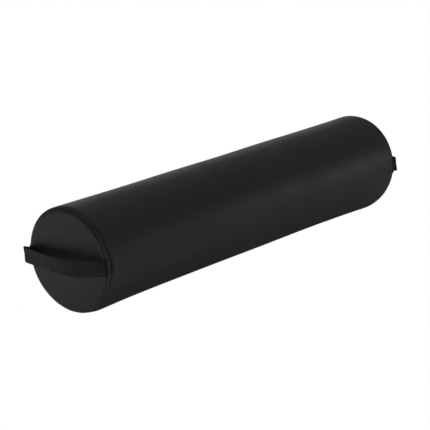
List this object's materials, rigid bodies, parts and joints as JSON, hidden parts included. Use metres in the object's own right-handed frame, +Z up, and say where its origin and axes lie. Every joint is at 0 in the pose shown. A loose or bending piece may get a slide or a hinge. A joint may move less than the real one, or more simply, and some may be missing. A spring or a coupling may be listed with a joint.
{
  "type": "massage bolster pillow",
  "caption": "Full-round foam bolster in a zipped vinyl cover, with topstitched end seams and a webbing handle sewn across each end.",
  "frame": {"origin": "middle of the flat that the bolster rests on, midway between its ends", "axes": "+X along the bolster, -Y towards its front, +Z up; the zip is on the lower back"},
  "size_m": [0.745, 0.1534, 0.1513],
  "materials": {
    "vinyl": "satin",
    "webbing": "matte",
    "thread": "matte",
    "zip_tape": "matte",
    "zip_coil": "satin",
    "zip_metal": "satin",
    "foam": "matte",
    "wadding": "matte"
  },
  "bodies": {
    "cover": {"barrel_panel": "vinyl", "end_panel_left": "vinyl", "end_panel_right": "vinyl", "topstitch_left": "thread", "topstitch_right": "thread", "bar_tack_left_front": "thread", "bar_tack_left_back": "thread", "bar_tack_right_front": "thread", "bar_tack_right_back": "thread", "handle_left_front_end": "webbing", "handle_left_back_end": "webbing", "handle_right_front_end": "webbing", "handle_right_back_end": "webbing", "zip_tape_upper": "zip_tape", "zip_tape_lower": "zip_tape", "zip_coil_upper": "zip_coil", "zip_coil_lower": "zip_coil", "zip_top_stop_upper": "zip_metal", "zip_top_stop_lower": "zip_metal", "zip_bottom_stop": "zip_metal", "zip_stitching_upper": "thread", "zip_stitching_lower": "thread", "foam_core": "foam", "fibre_wrap": "wadding"},
    "left_handle": {"handle_left": "webbing"},
    "right_handle": {"handle_right": "webbing"},
    "slider": {"zip_slider": "zip_metal"},
    "pull": {"zip_pull": "zip_metal"}
  },
  "joints": [
    {"name": "left_handle_swing", "type": "hinge", "parent": "cover", "child": "left_handle", "pos_m": [-0.345, 0, 0.0753], "axis": [0, 1, 0], "range_deg": [-35, 35], "stiffness_Nm_per_rad": 0.005},
    {"name": "right_handle_swing", "type": "hinge", "parent": "cover", "child": "right_handle", "pos_m": [0.345, 0, 0.0753], "axis": [0, -1, 0], "range_deg": [-35, 35], "stiffness_Nm_per_rad": 0.005},
    {"name": "zip_run", "type": "slide", "parent": "cover", "child": "slider", "axis": [1, 0, 0], "range_m": [0, 0.558]},
    {"name": "pull_flip", "type": "hinge", "parent": "slider", "child": "pull", "pos_m": [-0.2792, 0.06803, 0.03603], "axis": [0, 0.5, 0.866], "range_deg": [0, 175]}
  ]
}
